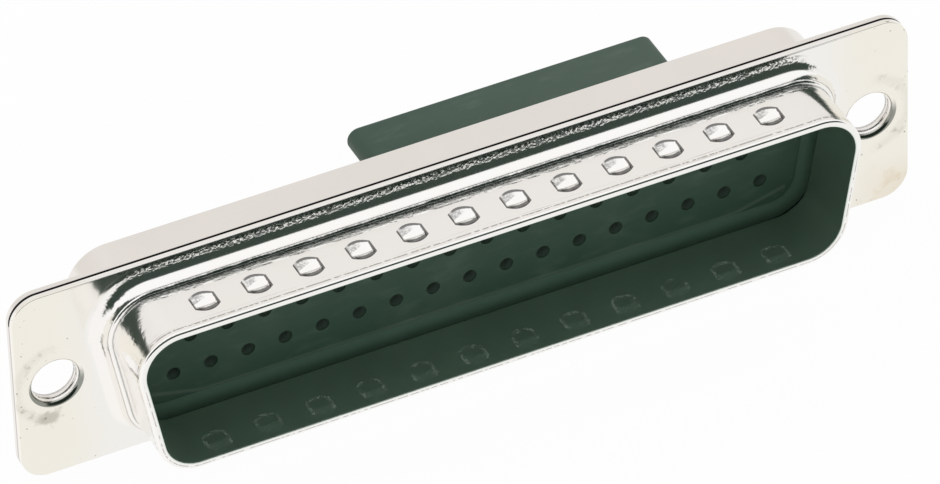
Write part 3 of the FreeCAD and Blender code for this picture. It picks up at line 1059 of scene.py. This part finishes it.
def moulded_plastic(name, finish, outline, insulator, marks):
    """Green-black moulding with a fine grain and dust, painted paler on the tongue, in the bores and
    round the collar, with a painted sheen along the face's lower edge.
    """
    material, nodes, shader = new_material(name)
    shader.inputs["Specular IOR Level"].default_value = 0.4
    place = nodes.add("ShaderNodeTexCoord").outputs["Object"]
    x, y, z = nodes.split(place)
    broad = nodes.noise(place, 160, 3, 0.55)
    smears = nodes.noise(nodes.join(x * 0.35, y, z), 900, 3, 0.6)
    fine = nodes.noise(place, 5000, 2)
    step = insulator.face_step
    # Painted light: the collar's front outside the raised face is painted paler against the shade in
    # the pocket there.
    collar = y.between(step, step + 0.05 * MM) * y.between(0.6 * MM, 0.4 * MM)
    face_top = outline.height / 2 - insulator.face_margin
    collar = collar * (abs(z) > face_top).most(abs(x) > marks.end_start)
    # Painted light: the bores are painted with the paler colour against their shade.
    bore = (1 - collar) * y.between(step, 2 * step) * y.between(2.2 * MM, 1.2 * MM)
    # Painted highlight: a soft, uneven sheen along the raised face's lower edge.
    curl = (abs(x) - 20 * MM).most(0) * 0.25
    edge_sheen = (z - curl).near(-marks.streak_drop, 0.26 * MM, 0.04 * MM)
    edge_sheen = edge_sheen * y.between(step, step - 0.05 * MM) * (abs(x) < marks.end_start)
    edge_sheen = edge_sheen * (0.5 + smears * 0.4)
    # Painted light: the tongue's top is painted paler, more so to the right, and stays dark on its
    # rounded right and rear ends.
    right_end = insulator.tongue_centre + insulator.tongue_width / 2
    rear_end = insulator.tongue_end
    tongue = y.between(insulator.body_back, insulator.body_back + 0.5 * MM)
    tongue = tongue * (0.15 + x.between(-5 * MM, 16 * MM) * 0.6)
    tongue = tongue * x.between(right_end, right_end - 0.9 * MM)
    tongue = tongue * y.between(rear_end - 0.02 * MM, rear_end - 0.2 * MM)
    dust_and_painted_light = smears.between(0.5, 0.72) * 0.35 + broad.between(0.45, 0.7) * 0.2
    dust_and_painted_light = dust_and_painted_light + fine.between(0.64, 0.76) * 0.15
    dust_and_painted_light = (dust_and_painted_light + edge_sheen + tongue * 0.6 + bore).least(1)
    tone = nodes.mix(dust_and_painted_light, finish.plastic, finish.plastic_dust_and_light)
    tone = nodes.mix(collar * 0.6, tone, finish.plastic_painted_light)
    bump = nodes.add("ShaderNodeBump", {"Strength": 0.35, "Distance": 0.01 * MM, "Height": fine})
    roughness = 0.42 + broad * 0.2
    connect(nodes, shader, Base_Color=tone, Roughness=roughness, Normal=bump.outputs["Normal"])
    return material


def settle(piece, node):
    """The piece stands for a node of the frame, whose part it hides, and hangs from the root body."""
    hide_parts(node)
    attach(piece, ROOT)


class PLUG_OT_front_shell(bpy.types.Operator):
    """Draws the front shell: flange, foot, tube and dimples"""

    bl_idname = "plug.front_shell"
    bl_label = "Front shell"

    def execute(self, context):
        scene = context.scene
        outline = scene.plug_outline
        shells = scene.plug_shells
        dimples = scene.plug_dimples
        piece = front_shell_form(outline, shells, dimples)
        finish = scene.plug_finish
        marks = scene.plug_marks
        material = tinned_steel("front_shell_tin", finish.front_tin, finish, shells, marks)
        press_dimples(piece, outline, shells, dimples, material)
        settle(piece, "front_shell")
        return {"FINISHED"}


class PLUG_OT_rear_shell(bpy.types.Operator):
    """Draws the rear shell: flange and cup"""

    bl_idname = "plug.rear_shell"
    bl_label = "Rear shell"

    def execute(self, context):
        scene = context.scene
        shells = scene.plug_shells
        piece = rear_shell_form(scene.plug_outline, shells)
        finish = scene.plug_finish
        marks = scene.plug_marks
        material = tinned_steel("rear_shell_tin", finish.rear_tin, finish, shells, marks)
        piece.data.materials.append(material)
        settle(piece, "rear_shell")
        return {"FINISHED"}


class PLUG_OT_insulator(bpy.types.Operator):
    """Moulds the insulator: face, collar, body, cavities and tongue"""

    bl_idname = "plug.insulator"
    bl_label = "Insulator"

    def execute(self, context):
        scene = context.scene
        outline = scene.plug_outline
        insulator = scene.plug_insulator
        piece = insulator_form(outline, scene.plug_shells, insulator)
        finish = scene.plug_finish
        marks = scene.plug_marks
        material = moulded_plastic("insulator_moulding", finish, outline, insulator, marks)
        add_cavities(piece, insulator, material)
        settle(piece, "insulator")
        return {"FINISHED"}


def add_camera(studio):
    """The camera looks past the origin from its azimuth, elevation and distance."""
    azimuth = studio.azimuth
    elevation = studio.elevation
    back = Vector((
        math.sin(azimuth) * math.cos(elevation),
        -math.cos(azimuth) * math.cos(elevation),
        math.sin(elevation),
    ))
    level = Vector((math.cos(azimuth), math.sin(azimuth), 0))
    upright = back.cross(level)
    right = level * math.cos(studio.roll) + upright * math.sin(studio.roll)
    up = upright * math.cos(studio.roll) - level * math.sin(studio.roll)
    data = bpy.data.cameras.new("camera")
    data.sensor_fit = "HORIZONTAL"
    data.sensor_width = studio.sensor / MM
    data.lens = studio.lens / MM
    data.clip_start = 10 * MM
    data.clip_end = 20
    camera = new_object("camera", data)
    turn = Matrix((right, up, back)).transposed().to_4x4()
    place = back * studio.distance + right * studio.across + up * studio.upwards
    camera.matrix_world = Matrix.Translation(place) @ turn
    bpy.context.scene.camera = camera


def add_floor(studio, level):
    """Pale floor that takes the plug's shadow. Metal reflects the world in its place."""
    size = studio.floor_size
    data = bpy.data.meshes.new("floor")
    corners = [(x, y, level) for x, y in box_corners(-size, size, -size, size)]
    data.from_pydata(corners, [], [(0, 1, 2, 3)])
    floor = new_object("floor", data)
    material = bpy.data.materials.new("floor_white")
    nodes = new_nodes(material)
    light_path = nodes.add("ShaderNodeLightPath")
    names = ("Is Camera Ray", "Is Glossy Ray", "Is Transmission Ray")
    camera, glossy, transmission = (Value(nodes, light_path.outputs[name]) for name in names)
    seen = (camera + glossy + transmission).least(1) * studio.floor_white
    matt = nodes.add("ShaderNodeBsdfDiffuse", {"Color": (0.9, 0.9, 0.9, 1)})
    white = nodes.add("ShaderNodeEmission", {"Color": (1, 1, 1, 1), "Strength": 1.0})
    inputs = {0: seen, 1: matt.outputs["BSDF"], 2: white.outputs["Emission"]}
    mixed = nodes.add("ShaderNodeMixShader", inputs)
    nodes.add("ShaderNodeOutputMaterial", {"Surface": mixed.outputs["Shader"]})
    data.materials.append(material)
    floor.visible_glossy = False


def add_light(studio):
    """Soft even light. Glossy surfaces reflect a bright ceiling and a dark screen in front."""
    world = bpy.data.worlds.new("studio")
    bpy.context.scene.world = world
    nodes = new_nodes(world)
    x, y, z = nodes.split(nodes.add("ShaderNodeTexCoord").outputs["Generated"])
    # Degrees from the horizon before the plug, over the zenith at 90, to the one behind it.
    rise = z.math("ARCTAN2", z, -y) * math.degrees(1)
    over_screen = rise.between(60, 66)
    ceiling = over_screen * rise.between(141, 122)
    screen = rise.between(0, 9) * (1 - over_screen) * abs(x).between(0.95, 0.85)
    tint = nodes.mix(x.between(0, -0.25), studio.low, studio.low_left)
    tint = nodes.mix((rise > 90) * rise.between(180, 160), tint, studio.behind)
    tint = nodes.mix(ceiling, tint, studio.overhead)
    tint = nodes.mix(screen, tint, studio.before)
    light_path = nodes.add("ShaderNodeLightPath")
    glossy = Value(nodes, light_path.outputs["Is Glossy Ray"])
    seen = Value(nodes, light_path.outputs["Is Camera Ray"])
    tint = nodes.mix(glossy, studio.soft, tint)
    tint = nodes.mix(seen, tint, (1, 1, 1))
    light = nodes.add("ShaderNodeBackground", {"Color": tint, "Strength": 1.0})
    nodes.add("ShaderNodeOutputWorld", {"Surface": light.outputs["Background"]})


class PLUG_OT_studio(bpy.types.Operator):
    """Sets up the camera, the floor and the light"""

    bl_idname = "plug.studio"
    bl_label = "Studio"

    def execute(self, context):
        studio = context.scene.plug_studio
        context.scene.view_settings.view_transform = "Standard"
        add_camera(studio)
        add_floor(studio, CAD_BOX[0].z - studio.floor_drop)
        add_light(studio)
        return {"FINISHED"}


class PLUG_PT_sidebar(bpy.types.Panel):
    """Lists the plug's pieces and sizes"""

    bl_label = "D-sub plug"
    bl_idname = "PLUG_PT_sidebar"
    bl_space_type = "VIEW_3D"
    bl_region_type = "UI"
    bl_category = "Plug"

    def draw(self, context):
        for name, group in GROUPS.items():
            box = self.layout.box()
            box.label(text=group.__doc__)
            settings = getattr(context.scene, name)
            for key in group.__annotations__:
                box.prop(settings, key)
        for operator in OPERATORS:
            self.layout.operator(operator.bl_idname)


OPERATORS = (PLUG_OT_front_shell, PLUG_OT_rear_shell, PLUG_OT_insulator, PLUG_OT_studio)


def register():
    for name, group in GROUPS.items():
        bpy.utils.register_class(group)
        setattr(bpy.types.Scene, name, PointerProperty(type=group))
    for item in (*OPERATORS, PLUG_PT_sidebar):
        bpy.utils.register_class(item)


def unregister():
    for item in (PLUG_PT_sidebar, *reversed(OPERATORS)):
        bpy.utils.unregister_class(item)
    for name, group in reversed(GROUPS.items()):
        delattr(bpy.types.Scene, name)
        bpy.utils.unregister_class(group)


def main():
    register()
    bpy.ops.plug.front_shell()
    bpy.ops.plug.rear_shell()
    bpy.ops.plug.insulator()
    bpy.ops.plug.studio()


if __name__ == "__main__":
    main()
